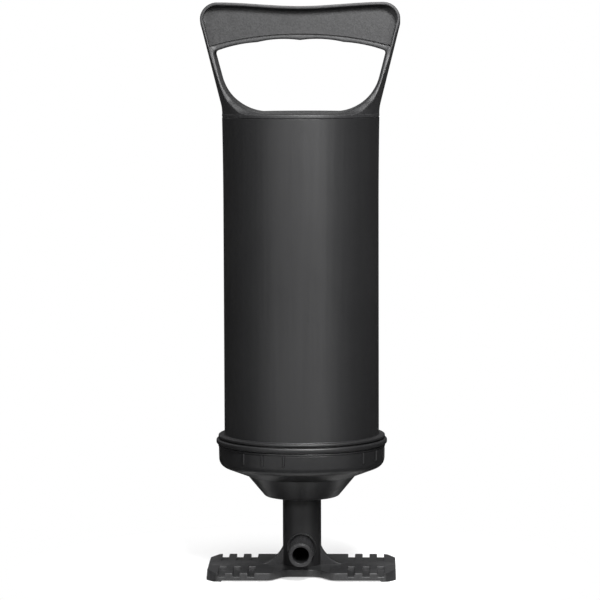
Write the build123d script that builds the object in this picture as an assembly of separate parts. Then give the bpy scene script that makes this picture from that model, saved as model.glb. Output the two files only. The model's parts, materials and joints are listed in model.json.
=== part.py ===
from build123d import *
import math
import os

# Double action hand pump. Lengths are in millimetres, z is up and the foot stands on z = 0.
# The outlet points to -Y. The barrel, its handle and its end cap slide on a rod that the
# foot carries, and all four valves sit in the piston at the rod's top.

os.makedirs("parts", exist_ok=True)

# Clearances
FIT = 0.05              # radial play of parts that are pushed or screwed together
RUNNING_FIT = 0.06      # radial play of parts that slide or turn on each other
SEAM = 0.3              # open seam between two shells that are screwed up tight
STOP_GAP = 0.3          # air left between the piston and a bumper at the end of the stroke

# Foot plate
FOOT_LENGTH = 121.8
FOOT_DEPTH = 74.0
FOOT_TOP = 4.8          # height of the treads above the ground
FOOT_ARCH = 0.8         # air under the plate between its two end pads
FOOT_CORNER = 8.0
PAD_LENGTH = 9.5        # length of each end pad that meets the ground
WAIST_SETBACK = 13.0    # how far the front edge steps back between the treads
WAIST_LENGTH = 22.0
WAIST_SLOPE = 8.5       # run of each slanted flank of the waist
WAIST_INNER_RADIUS = 8.0
WAIST_OUTER_RADIUS = 6.0
TREAD_GROOVES = 3       # grooves in each quarter of the plate
GROOVE_WIDTH = 4.5
GROOVE_PITCH = 9.55
GROOVE_DEPTH = 2.2
GROOVE_MARGIN = 9.7     # from the plate's end to the middle of the outermost groove
RIDGE_WIDTH = 22.0      # plain strip between the front and the rear grooves
PLATE_EDGE = 0.5
GUSSET_THICKNESS = 6.5
GUSSET_HEIGHT = 13.7
GUSSET_REACH = 13.6
GUSSET_HOLLOW = 0.52    # how far the gusset's curve sags from its chord towards the corner

# Rod, air tube and the manifold that carries them
ROD_RADIUS = 12.5
ROD_WALL = 1.8
AIR_TUBE_RADIUS = 5.8
AIR_TUBE_WALL = 1.0
MANIFOLD_HEIGHT = 29.0  # above the plate
SOCKET_DEPTH = 8.0      # depth of the air tube's socket in the manifold
ELBOW_CLEARANCE = 0.4   # the elbow in the manifold is this much wider than the port's bore
FOOT_SCREW_OFFSET = 6.6
FOOT_SCREW_LENGTH = 11.0
INTAKE_SLOT_ANGLE = 110.0
SEAL_RING_SECTION = 1.0

# Ports
PORT_HEIGHT = 18.0
PORT_RADIUS = 7.4
PORT_BORE = 5.2
PORT_REACH = 42.0       # from the rod's axis to the port's mouth
PORT_COLLAR_RADIUS = 9.4
PORT_COLLAR_STAND = 2.0
PORT_COLLAR_GROOVE = 1.2
PORT_COLLAR_LIP = 0.6   # rim left outside the collar's groove
PORT_CHAMFER = 0.8
OUTLET_TAIL = 6.6       # where the outlet's inner end stops, from the rod's axis
INTAKE_TAIL = 9.2

# Barrel
BARREL_RADIUS = 50.15
BARREL_WALL = 2.5
BARREL_FLARE = 0.55     # growth of the outer radius towards the saddle
FLARE_LENGTH = 62.0
BARREL_END = 77.0       # lower end, inside the end cap
BARREL_TOP = 296.6
BARREL_EDGE = 0.5
FLANGE_FOOT = 85.0
BEAD_STAND = 5.3        # out from the barrel
BEAD_HEIGHT = 3.4
FLANGE_LIP_STAND = 3.95
FLANGE_LIP_HEIGHT = 1.7
FLANGE_GROOVE = 0.9

# End cap
CAP_SKIRT = 3.75        # wall of the skirt over the barrel's thread
CAP_WALL = 2.3
CAP_FOOT = 50.4         # height of the cap's nose above the ground, pump closed
CAP_NOSE_RADIUS = 23.8
CAP_NOSE_EDGE = 3.0
CAP_CREASE_RADIUS = 35.3
CAP_CREASE_HEIGHT = 13.8
CAP_CREASE_BEND = 2.0
CAP_SHOULDER_HEIGHT = 20.9
CAP_SHOULDER_BEND = 6.0
CAP_TAPER = 0.6         # how much narrower the side is at the shoulder
CAP_MOUTH_CLEARANCE = 0.4
CAP_LEDGE_MARGIN = 1.8  # ledge beyond the bumper's inner edge
CAP_LEDGE_HEIGHT = 21.6
GRIP_GROUPS = 4
GRIP_RIBS = 3
GRIP_RIB_PITCH = 15.4   # degrees
GRIP_RIB_WIDTH = 1.3
GRIP_RIB_HEIGHT = 7.3
GRIP_RIB_STAND = 0.6
GRIP_RIB_SINK = 1.4     # how deep a rib reaches into the skirt
CAP_RIM = 1.3           # plain rim above the ribs
GRIP_TURN = -26.5       # degrees from the front to the middle of a group
GASKET_THICKNESS = 1.3

# Rod guide in the end cap
GLAND_FLOOR = 2.4
GLAND_DEPTH = 13.6
GLAND_RING = 2.5        # radial width of bush and seal
GLAND_WALL = 3.0
BUSH_LENGTH = 6.6
SEAL_LENGTH = 3.5
RETAINER_FLANGE = 2.0

# Handle
SADDLE_STAND = 2.6          # of the saddle above the barrel's top
SADDLE_THICKNESS = 5.0
SADDLE_SPIGOT = 3.2     # length of the spigot below the saddle plate
SADDLE_SPIGOT_WALL = 3.0
SADDLE_EDGE = 0.9
SADDLE_SEAM = 0.4
HANDLE_RISE = 70.8          # from the saddle to the top
HANDLE_DIP = 2.5        # how far the grip's top edge dips in the middle
HANDLE_HALF_WIDTH = 64.1
HANDLE_CORNER = 11.0
SHOULDER_DROP = 14.0        # from the top to where the struts reach their full spread
GRIP_DEPTH = 25.0
STRUT_WIDTH = 4.9           # across a strut at the grip, seen from the front
STRUT_FOOT_WIDTH = 5.1
STRUT_FOOT_DEPTH = 80.0     # strut front to back where it grows out of the saddle
STRUT_CALF_DEPTH = 42.4     # and a little higher up
STRUT_CALF_HEIGHT = 10.0
STRUT_NECK_DEPTH = 31.2
STRUT_NECK_HEIGHT = 27.0
STRUT_SINK = 1.0            # how far the struts start below the saddle's top
STRUT_SPRING = 3.0          # height at which the struts start to lean out
STRUT_BEND = 28.0
GRIP_HEIGHT = 24.2
WINDOW_SIDE_DROP = 7.0
WINDOW_LOWER_RADIUS = 30.6
WINDOW_UPPER_RADIUS = 2.0
FINGER_PITCH = 27.8
FINGER_SAG = 1.3
OUTER_FINGER_SAG = 1.0
FINGER_DROP = 1.3       # outer cusps below the middle one
RIM = 1.9
SIDE_RIM = 2.8
LOWER_RIM = 3.2
RECESS_LOWER_LIFT = 2.5     # of the recess's low corners above the window's
RECESS_DEPTH = 8.4
RECESS_CORNER = 9.0
BLANK_MARGIN = 2.0          # how far blanks stand past what cuts them

# Bumpers
BUMPER_WIDTH = 6.0
TOP_BUMPER_INSET = 2.4      # from the saddle's spigot
TOP_BUMPER_HEIGHT = 3.5
BOTTOM_BUMPER_HEIGHT = 4.6

# Piston
PISTON_HEIGHT = 25.0
PISTON_CLEARANCE = 0.6
PISTON_PLATE = 5.4
PISTON_WALL = 4.5
RING_HEIGHT = 4.0
RING_WIDTH = 2.55
RING_SIDE_PLAY = 0.1
RING_BACK_PLAY = 0.3
HUB_WALL = 2.6
HUB_ROOF = 2.4
HUB_WINDOW = 4.1
HUB_WINDOW_RISE = 0.5       # of the window's foot above the rod's end
ROD_SOCKET = 7.4
DIVIDER = 2.4
COVER_SCREWS = 4
SCREW_BOSS_INSET = 0.5      # how far the bosses grow into the piston's wall
SCREW_ANGLE = 50.0      # of the first screw from the line through the valves
SCREW_RADIUS = 1.5
SCREW_LENGTH = 14.0
SCREW_HEAD_RADIUS = 2.8
SCREW_HEAD_HEIGHT = 1.8
SCREW_BOSS_RADIUS = 3.8

# Valves
VALVE_RADIUS = 9.5
VALVE_THICKNESS = 1.6
VALVE_STEM_RADIUS = 1.5
VALVE_BEAD_RADIUS = 2.5
VALVE_BEAD_HEIGHT = 1.4
VALVE_LIFT = 1.5
VALVE_STOP_PLAY = 0.05
SEAT_THICKNESS = 2.0
WELL_CLEARANCE = 1.0
SEAT_HOLES = 6
SEAT_HOLE_RADIUS = 2.0
SEAT_HOLE_CIRCLE = 5.4

# Sizes that follow from the ones above
rod_inner = ROD_RADIUS - ROD_WALL
manifold_radius = rod_inner - FIT
manifold_top = FOOT_TOP + MANIFOLD_HEIGHT
manifold_seal = manifold_top - SOCKET_DEPTH / 2
air_tube_foot = manifold_top - SOCKET_DEPTH
seal_ring_inner = AIR_TUBE_RADIUS + FIT
seal_ring_outer = seal_ring_inner + SEAL_RING_SECTION
bore_radius = BARREL_RADIUS - BARREL_WALL
thread_radius = BARREL_RADIUS - FIT
cap_top = FLANGE_FOOT - SEAM
cap_mouth_radius = thread_radius + CAP_MOUTH_CLEARANCE
cap_radius = cap_mouth_radius + CAP_SKIRT
cap_shoulder = BARREL_END - GASKET_THICKNESS
saddle_radius = BARREL_RADIUS + BARREL_FLARE
saddle_top = BARREL_TOP + SADDLE_STAND
saddle_underside = saddle_top - SADDLE_THICKNESS
spigot_radius = bore_radius - FIT
spigot_inner = spigot_radius - SADDLE_SPIGOT_WALL
strut_foot = saddle_top - STRUT_SINK
strut_spring = saddle_top + STRUT_SPRING
handle_top = saddle_top + HANDLE_RISE
handle_shoulder = handle_top - SHOULDER_DROP
window_top = handle_top - GRIP_HEIGHT
strut_foot_radius = saddle_radius - FIT
strut_lean = math.atan2(HANDLE_HALF_WIDTH - strut_foot_radius, handle_shoulder - strut_spring)
strut_bend = min(STRUT_BEND, (strut_spring - strut_foot - FIT) / math.tan(strut_lean / 2))
bumper_foot = saddle_underside - TOP_BUMPER_HEIGHT
piston_radius = bore_radius - PISTON_CLEARANCE
piston_inner = piston_radius - PISTON_WALL
piston_top = bumper_foot - STOP_GAP
piston_foot = piston_top - PISTON_HEIGHT
cover_foot = piston_top - PISTON_PLATE
floor_top = piston_foot + PISTON_PLATE
rod_top = piston_foot + ROD_SOCKET
hub_radius = ROD_RADIUS + FIT + HUB_WALL
roof_foot = rod_top + HUB_WINDOW + HUB_WINDOW_RISE
roof_top = roof_foot + HUB_ROOF
air_tube_top = roof_top + HUB_ROOF
bumper_top = CAP_FOOT + CAP_LEDGE_HEIGHT + BOTTOM_BUMPER_HEIGHT
STROKE = piston_foot - bumper_top - STOP_GAP
gland_inner = ROD_RADIUS + RUNNING_FIT
gland_outer = ROD_RADIUS + GLAND_RING
gland_foot = CAP_FOOT + GLAND_FLOOR
screw_head_play = 4 * FIT
well_radius = VALVE_RADIUS + WELL_CLEARANCE
valve_offset = (hub_radius + piston_inner) / 2
screw_circle = piston_inner - SCREW_BOSS_RADIUS + SCREW_BOSS_INSET
floor_bumper_outer = piston_radius - FIT
floor_bumper_inner = floor_bumper_outer - BUMPER_WIDTH


def ring(outer, inner, foot, top):
    """A plain ring about the pump's axis."""
    body = Cylinder(outer, top - foot, align=(Align.CENTER, Align.CENTER, Align.MIN))
    hole = Cylinder(inner, top - foot, align=(Align.CENTER, Align.CENTER, Align.MIN))
    return Pos(0, 0, foot) * (body - hole)


def disc(radius, foot, top):
    """A plain disc about the pump's axis."""
    return Pos(0, 0, foot) * Cylinder(radius, top - foot, align=(Align.CENTER, Align.CENTER, Align.MIN))


def turned(wire):
    """The solid that a closed outline in the XZ plane sweeps about the pump's axis."""
    return revolve(make_face(wire), Axis.Z)


def lying_rod(radius, start, end, height):
    """A cylinder along Y between two distances from the pump's axis."""
    body = Cylinder(radius, end - start, align=(Align.CENTER, Align.CENTER, Align.MIN))
    return Pos(0, start, height) * Rot(-90, 0, 0) * body


# ---------------------------------------------------------------- foot

def foot_outline():
    """Plan of the foot plate, with the waist in its front edge."""
    end = FOOT_LENGTH / 2
    back = FOOT_DEPTH / 2
    waist = WAIST_LENGTH / 2
    front = -back
    corners = [
        (waist, front + WAIST_SETBACK),
        (waist + WAIST_SLOPE, front),
        (end, front),
        (end, back),
    ]
    radii = [WAIST_INNER_RADIUS, WAIST_OUTER_RADIUS, FOOT_CORNER, FOOT_CORNER]
    left = [(-x, y) for x, y in reversed(corners)]
    return make_face(FilletPolyline(*corners, *left, radius=radii + radii[::-1], close=True))


def tread_grooves():
    """Grooves that run out at the front and the rear edge of both treads."""
    cutter = Box(GROOVE_WIDTH, FOOT_DEPTH, GROOVE_DEPTH * 2, align=(Align.CENTER, Align.MIN, Align.CENTER))
    outermost = FOOT_LENGTH / 2 - GROOVE_MARGIN
    grooves = []
    for side in (-1, 1):
        for number in range(TREAD_GROOVES):
            x = side * (outermost - number * GROOVE_PITCH)
            grooves.append(Pos(x, RIDGE_WIDTH / 2, FOOT_TOP) * cutter)
            grooves.append(Pos(x, -RIDGE_WIDTH / 2, FOOT_TOP) * Rot(0, 0, 180) * cutter)
    return grooves


def gusset():
    """Web between the plate and the rod, with a hollow upper edge."""
    top = (ROD_RADIUS, FOOT_TOP + GUSSET_HEIGHT)
    toe = (ROD_RADIUS + GUSSET_REACH, FOOT_TOP)
    share = GUSSET_HOLLOW / 2
    middle = (
        (top[0] + toe[0]) / 2 - share * GUSSET_REACH / 2,
        (top[1] + toe[1]) / 2 - share * GUSSET_HEIGHT / 2,
    )
    inside = ROD_RADIUS - ROD_WALL
    outline = Curve() + [
        ThreePointArc(top, middle, toe),
        Line(toe, (toe[0], FOOT_ARCH)),
        Line((toe[0], FOOT_ARCH), (inside, FOOT_ARCH)),
        Line((inside, FOOT_ARCH), (inside, top[1])),
        Line((inside, top[1]), top),
    ]
    web = extrude(make_face(Plane.XZ * outline), GUSSET_THICKNESS / 2, both=True)
    return web - disc(ROD_RADIUS + FIT, FOOT_TOP, FOOT_TOP + GUSSET_HEIGHT)


def foot_screw_places():
    return [Pos(side * FOOT_SCREW_OFFSET, 0, FOOT_ARCH) for side in (-1, 1)]


def make_base_manifold():
    """Plug inside the rod, with the elbow to the outlet and the slot to the intake port."""
    plug = disc(manifold_radius, FOOT_TOP, manifold_top)
    elbow_radius = PORT_BORE + ELBOW_CLEARANCE
    elbow = lying_rod(elbow_radius, -ROD_RADIUS, 0, PORT_HEIGHT) + Pos(0, 0, PORT_HEIGHT) * Sphere(elbow_radius)
    riser = disc(AIR_TUBE_RADIUS - AIR_TUBE_WALL, PORT_HEIGHT, manifold_top)
    socket = disc(AIR_TUBE_RADIUS + FIT, air_tube_foot, manifold_top)
    seal_groove = disc(seal_ring_outer, manifold_seal, manifold_seal + SEAL_RING_SECTION)
    outlet_seat = lying_rod(PORT_RADIUS + FIT, -ROD_RADIUS, -OUTLET_TAIL, PORT_HEIGHT)
    slot_floor = seal_ring_outer + AIR_TUBE_WALL
    slot = ring(ROD_RADIUS, slot_floor, PORT_HEIGHT - PORT_RADIUS - FIT, manifold_top)
    half = math.radians(INTAKE_SLOT_ANGLE / 2)
    reach = ROD_RADIUS * 2
    wedge = make_face(Polyline((0, 0), (reach * math.sin(half), reach * math.cos(half)),
                               (-reach * math.sin(half), reach * math.cos(half)), close=True))
    slot = slot & extrude(wedge, manifold_top + 1)
    plug = plug - elbow - riser - socket - seal_groove - outlet_seat - slot
    pilot = Cylinder(SCREW_RADIUS + FIT, FOOT_SCREW_LENGTH + 1, align=(Align.CENTER, Align.CENTER, Align.MIN))
    return plug - [place * pilot for place in foot_screw_places()]


def make_foot_screws():
    """Pan-head screws from under the plate into the manifold."""
    head = Cylinder(SCREW_HEAD_RADIUS, SCREW_HEAD_HEIGHT, align=(Align.CENTER, Align.CENTER, Align.MIN))
    shank = Cylinder(SCREW_RADIUS, FOOT_SCREW_LENGTH, align=(Align.CENTER, Align.CENTER, Align.MIN))
    slot = Box(2 * SCREW_HEAD_RADIUS, SCREW_RADIUS / 2, SCREW_HEAD_HEIGHT)
    return [place * Pos(0, 0, screw_head_play) * (head + shank - slot) for place in foot_screw_places()]


def make_foot_plate():
    plate = Pos(0, 0, FOOT_ARCH) * extrude(foot_outline(), FOOT_TOP - FOOT_ARCH)
    pad_inner = FOOT_LENGTH / 2 - PAD_LENGTH
    end_pads = extrude(foot_outline(), FOOT_ARCH) - Box(2 * pad_inner, FOOT_DEPTH, 4 * FOOT_ARCH)
    plate = plate + end_pads
    top_edges = plate.edges().filter_by_position(Axis.Z, FOOT_TOP, FOOT_TOP)
    plate = chamfer(top_edges, PLATE_EDGE)
    plate = plate - tread_grooves()
    hole = Cylinder(SCREW_RADIUS + FIT, FOOT_TOP, align=(Align.CENTER, Align.CENTER, Align.MIN))
    sink = Cylinder(SCREW_HEAD_RADIUS + screw_head_play, SCREW_HEAD_HEIGHT + screw_head_play,
                    align=(Align.CENTER, Align.CENTER, Align.MIN))
    plate = plate - [place * (hole + sink) for place in foot_screw_places()]
    right = gusset()
    return plate + right + Rot(0, 0, 180) * right


# ---------------------------------------------------------------- ports and tubes

def make_spigot(direction, tail):
    """Port with a collar saddled on the rod; direction is -1 for the front, 1 for the rear."""
    collar_face = ROD_RADIUS + PORT_COLLAR_STAND
    barrel = lying_rod(PORT_RADIUS, tail, PORT_REACH, PORT_HEIGHT)
    mouth = barrel.edges().sort_by(Axis.Y)[-1]
    barrel = chamfer(mouth, PORT_CHAMFER)
    collar = lying_rod(PORT_COLLAR_RADIUS, 0, collar_face, PORT_HEIGHT)
    collar = collar - disc(ROD_RADIUS + FIT, 0, PORT_HEIGHT * 2)
    collar = collar - Box(4 * ROD_RADIUS, 2 * tail, 4 * PORT_HEIGHT)
    groove = lying_rod(PORT_COLLAR_RADIUS - PORT_COLLAR_LIP, collar_face - PORT_COLLAR_GROOVE, collar_face, PORT_HEIGHT)
    bore = lying_rod(PORT_BORE, 0, PORT_REACH, PORT_HEIGHT)
    port = (collar - groove) + barrel - bore
    return port if direction > 0 else Rot(0, 0, 180) * port


def make_rod_tube():
    tube = ring(ROD_RADIUS, rod_inner, FOOT_TOP, rod_top)
    return tube - lying_rod(PORT_RADIUS + FIT, -ROD_RADIUS, ROD_RADIUS, PORT_HEIGHT)


def make_air_tube():
    return ring(AIR_TUBE_RADIUS, AIR_TUBE_RADIUS - AIR_TUBE_WALL, air_tube_foot, air_tube_top)


def make_seal_ring(foot):
    """Square-cut seal round the air tube, in a groove whose floor lies at the given height."""
    play = FIT / 2
    return ring(seal_ring_outer - play, seal_ring_inner + play, foot + play, foot + SEAL_RING_SECTION - play)


# ---------------------------------------------------------------- barrel and end cap

def make_barrel_tube():
    """Tube with a bead and a lip at its flange, and a plain end for the cap's thread."""
    bead_top = FLANGE_FOOT + BEAD_HEIGHT
    bead_radius = BARREL_RADIUS + BEAD_STAND
    bead_side = bead_radius - BEAD_HEIGHT / 4
    lip_radius = BARREL_RADIUS + FLANGE_LIP_STAND
    lip_foot = bead_top + FLANGE_GROOVE
    lip_top = lip_foot + FLANGE_LIP_HEIGHT
    top_radius = BARREL_RADIUS + BARREL_FLARE
    rim = BARREL_TOP - FIT
    outline = Curve() + [
        Polyline((bore_radius, BARREL_END), (thread_radius, BARREL_END), (thread_radius, FLANGE_FOOT),
                 (bead_side, FLANGE_FOOT)),
        ThreePointArc((bead_side, FLANGE_FOOT), (bead_radius, FLANGE_FOOT + BEAD_HEIGHT / 2),
                      (bead_side, bead_top)),
        Polyline((bead_side, bead_top), (lip_radius - FLANGE_GROOVE, bead_top),
                 (lip_radius - FLANGE_GROOVE, lip_foot), (lip_radius, lip_foot),
                 (lip_radius, lip_top - FLANGE_LIP_HEIGHT / 2),
                 (BARREL_RADIUS, lip_top), (BARREL_RADIUS, BARREL_TOP - FLARE_LENGTH)),
        TangentArc((BARREL_RADIUS, BARREL_TOP - FLARE_LENGTH), (top_radius, rim - BARREL_EDGE), tangent=(0, 1)),
        Polyline((top_radius, rim - BARREL_EDGE), (top_radius - BARREL_EDGE, rim),
                 (bore_radius, rim), (bore_radius, BARREL_END)),
    ]
    return turned(Plane.XZ * outline)


def cap_curve(shift):
    """Outside of the cap from its nose to its skirt's top, moved in and up by a wall."""
    corners = [
        (ROD_RADIUS + CAP_WALL, CAP_FOOT),
        (CAP_NOSE_RADIUS, CAP_FOOT),
        (CAP_CREASE_RADIUS, CAP_FOOT + CAP_CREASE_HEIGHT),
        (cap_radius - CAP_TAPER, CAP_FOOT + CAP_SHOULDER_HEIGHT),
        (cap_radius, cap_top),
    ]
    moved = [(radius - shift, height + shift) for radius, height in corners]
    bends = [CAP_NOSE_EDGE, CAP_CREASE_BEND, CAP_SHOULDER_BEND]
    curve = Polyline(*moved) if shift else FilletPolyline(*moved, radius=bends)
    return curve, moved[0], moved[-1]


def make_end_cap():
    """Screw cap with a rounded shoulder, a cone, a housing for the rod guide and grip ribs."""
    outside, nose, skirt = cap_curve(0)
    hole = ROD_RADIUS + CAP_MOUTH_CLEARANCE
    outline = Curve() + [outside, Polyline(skirt, (0, cap_top), (0, CAP_FOOT), nose)]
    cap = turned(Plane.XZ * outline)
    inside, inner_nose, inner_skirt = cap_curve(CAP_WALL)
    hollow_outline = Curve() + [
        inside,
        Polyline(inner_skirt, (0, inner_skirt[1]), (0, inner_nose[1]), inner_nose),
    ]
    ledge = CAP_FOOT + CAP_LEDGE_HEIGHT
    ledge_radius = floor_bumper_inner - CAP_LEDGE_MARGIN
    hollow = turned(Plane.XZ * hollow_outline) & disc(ledge_radius, CAP_FOOT, ledge)
    housing = disc(gland_outer + FIT + GLAND_WALL, CAP_FOOT, gland_foot + GLAND_DEPTH)
    cap = cap - (hollow - housing)
    cap = cap - disc(piston_radius, ledge, cap_shoulder)
    cap = cap - disc(cap_mouth_radius, cap_shoulder, cap_top)
    cap = cap - disc(gland_outer + FIT, gland_foot, gland_foot + GLAND_DEPTH)
    cap = cap - disc(hole, CAP_FOOT - 1, gland_foot)
    return cap + grip_ribs()


def grip_ribs():
    """Short upright ribs in groups round the cap's side."""
    depth = GRIP_RIB_STAND + GRIP_RIB_SINK
    rib = Box(GRIP_RIB_WIDTH, depth, GRIP_RIB_HEIGHT, align=(Align.CENTER, Align.MAX, Align.MAX))
    top = cap_top - CAP_RIM
    ribs = []
    for group in range(GRIP_GROUPS):
        for number in range(GRIP_RIBS):
            turn = GRIP_TURN + group * 360 / GRIP_GROUPS + (number - (GRIP_RIBS - 1) / 2) * GRIP_RIB_PITCH
            ribs.append(Rot(0, 0, turn) * Pos(0, GRIP_RIB_SINK - cap_radius, top) * rib)
    return ribs


def make_cap_gasket():
    return ring(thread_radius, bore_radius, cap_shoulder, BARREL_END)


def make_rod_bush():
    return ring(gland_outer, gland_inner, gland_foot, gland_foot + BUSH_LENGTH)


def make_rod_seal():
    """Lip seal: a ring with a groove in its upper face."""
    foot = gland_foot + BUSH_LENGTH
    seal = ring(gland_outer, gland_inner, foot, foot + SEAL_LENGTH)
    middle = (gland_outer + gland_inner) / 2
    groove_half = GLAND_RING / 6
    return seal - ring(middle + groove_half, middle - groove_half, foot + SEAL_LENGTH / 2, foot + SEAL_LENGTH)


def make_seal_retainer():
    """Ring pressed in over the seal, with a flange on the housing's rim."""
    foot = gland_foot + BUSH_LENGTH + SEAL_LENGTH
    rim = gland_foot + GLAND_DEPTH
    hole = ROD_RADIUS + CAP_MOUTH_CLEARANCE
    return ring(gland_outer, hole, foot, rim) + ring(gland_outer + GLAND_WALL, hole, rim, rim + RETAINER_FLANGE)


def make_bottom_bumper():
    return ring(floor_bumper_outer, floor_bumper_inner, CAP_FOOT + CAP_LEDGE_HEIGHT, bumper_top)


def make_top_bumper():
    outer = spigot_inner - TOP_BUMPER_INSET
    return ring(outer, outer - BUMPER_WIDTH, bumper_foot, saddle_underside)


# ---------------------------------------------------------------- handle

def cone_radius(height):
    """Radius of the flaring surface that the struts' outer faces lie on."""
    share = (height - strut_spring) / (handle_shoulder - strut_spring)
    return strut_foot_radius + share * (HANDLE_HALF_WIDTH - strut_foot_radius)


def top_outline(inset, corner):
    """Upper half of the grip's outline from the front, shrunk by an inset."""
    side = HANDLE_HALF_WIDTH - inset
    top = handle_top - inset
    shoulder = top - corner
    crown = side - corner
    return [
        RadiusArc((side, shoulder), (crown, top), -corner),
        Spline((crown, top), (0, top - HANDLE_DIP), (-crown, top), tangents=[(-1, -0.01), (-1, 0.01)]),
        RadiusArc((-crown, top), (-side, shoulder), -corner),
    ], shoulder


def handle_side_form():
    """The handle seen from its end: wide at the saddle, drawn in to the grip's depth."""
    waist = GRIP_DEPTH / 2
    foot = STRUT_FOOT_DEPTH / 2
    neck = window_top
    top = handle_top + BLANK_MARGIN
    calf = (STRUT_CALF_DEPTH / 2, strut_foot + STRUT_CALF_HEIGHT)
    shin = (STRUT_NECK_DEPTH / 2, strut_foot + STRUT_NECK_HEIGHT)
    right = Spline((foot, strut_foot), calf, shin, (waist, neck), tangents=[(-1, 0.25), (0, 1)])
    left = mirror(right, Plane.YZ)
    outline = Curve() + [
        right,
        left,
        Polyline((waist, neck), (waist, top), (-waist, top), (-waist, neck)),
        Line((-foot, strut_foot), (foot, strut_foot)),
    ]
    return extrude(make_face(Plane.YZ * outline), HANDLE_HALF_WIDTH + BLANK_MARGIN, both=True)


def window():
    """Hand opening: round lower corners, and finger grooves along its upper edge."""
    corner_height = window_top - WINDOW_SIDE_DROP
    corner = (cone_radius(corner_height) - STRUT_WIDTH, corner_height)
    foot = (cone_radius(saddle_top) - STRUT_FOOT_WIDTH, saddle_top)
    lower = FilletPolyline(corner, foot, (-foot[0], foot[1]), (-corner[0], corner[1]),
                           radius=WINDOW_LOWER_RADIUS)
    cusp = (FINGER_PITCH, window_top - FINGER_DROP)
    middle = (0, window_top)
    grooves = [
        SagittaArc(corner, cusp, -OUTER_FINGER_SAG),
        SagittaArc(cusp, middle, -FINGER_SAG),
        SagittaArc(middle, (-cusp[0], cusp[1]), -FINGER_SAG),
        SagittaArc((-cusp[0], cusp[1]), (-corner[0], corner[1]), -OUTER_FINGER_SAG),
    ]
    opening = extrude(make_face(Plane.XZ * (Curve() + [lower, *grooves])), BARREL_RADIUS + BLANK_MARGIN, both=True)
    ends = opening.edges().filter_by(Axis.Y).group_by(Axis.X)
    sharp = ends[0] + ends[-1]
    return fillet(sharp, WINDOW_UPPER_RADIUS)


def recess():
    """Pocket in one face of the grip, inside an even rim."""
    arcs, shoulder = top_outline(RIM, RECESS_CORNER)
    side = HANDLE_HALF_WIDTH - RIM
    low = window_top - WINDOW_SIDE_DROP + RECESS_LOWER_LIFT
    low_side = cone_radius(low) - SIDE_RIM
    middle = window_top + LOWER_RIM
    outline = Curve() + [
        *arcs,
        Line((side, shoulder), (low_side, low)),
        ThreePointArc((low_side, low), (0, middle), (-low_side, low)),
        Line((-low_side, low), (-side, shoulder)),
    ]
    floor = GRIP_DEPTH / 2 - RECESS_DEPTH
    return Pos(0, -floor, 0) * extrude(make_face(Plane.XZ * outline), GRIP_DEPTH)


def make_handle():
    arcs, shoulder = top_outline(0, HANDLE_CORNER)
    side = HANDLE_HALF_WIDTH
    front_outline = Curve() + [
        *arcs,
        Polyline((side, shoulder), (side, strut_foot), (-side, strut_foot), (-side, shoulder)),
    ]
    front = extrude(make_face(Plane.XZ * front_outline), BARREL_RADIUS + BLANK_MARGIN, both=True)
    reach = cone_radius(handle_top)
    flare_outline = Curve() + [
        FilletPolyline((strut_foot_radius, strut_foot), (strut_foot_radius, strut_spring), (reach, handle_top),
                       radius=strut_bend),
        Polyline((reach, handle_top), (0, handle_top), (0, strut_foot), (strut_foot_radius, strut_foot)),
    ]
    flare = turned(Plane.XZ * flare_outline)
    bow = flare & front & handle_side_form()
    bow = bow - window()
    bow = bow - recess() - Rot(0, 0, 180) * recess()
    saddle = disc(saddle_radius, BARREL_TOP, saddle_top)
    saddle = fillet(saddle.edges().sort_by(Axis.Z)[-1], SADDLE_EDGE)
    saddle = chamfer(saddle.edges().sort_by(Axis.Z)[0], SADDLE_SEAM)
    plug = disc(spigot_radius, saddle_underside, saddle_top - SADDLE_EDGE)
    spigot = ring(spigot_radius, spigot_inner, saddle_underside - SADDLE_SPIGOT,
                  saddle_underside)
    return bow + saddle + plug + spigot


# ---------------------------------------------------------------- piston

def valve_well(x, foot, top):
    return Pos(x, 0, foot) * Cylinder(well_radius, top - foot, align=(Align.CENTER, Align.CENTER, Align.MIN))


def seat_holes(x, foot, top):
    """Air holes round a valve's stem, and the hole for the stem."""
    height = top - foot
    hole = Cylinder(SEAT_HOLE_RADIUS, height, align=(Align.CENTER, Align.CENTER, Align.MIN))
    stem_hole = Cylinder(VALVE_STEM_RADIUS + RUNNING_FIT, height, align=(Align.CENTER, Align.CENTER, Align.MIN))
    around = [place * hole for place in PolarLocations(SEAT_HOLE_CIRCLE, SEAT_HOLES)]
    return [Pos(x, 0, foot) * item for item in [stem_hole, *around]]


def screw_places():
    turns = (SCREW_ANGLE, 180 - SCREW_ANGLE, 180 + SCREW_ANGLE, 360 - SCREW_ANGLE)
    return [Rot(0, 0, turn) * Pos(screw_circle, 0, 0) for turn in turns[:COVER_SCREWS]]


def piston_ring_foot():
    return (piston_foot + piston_top) / 2 - RING_HEIGHT / 2


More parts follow.
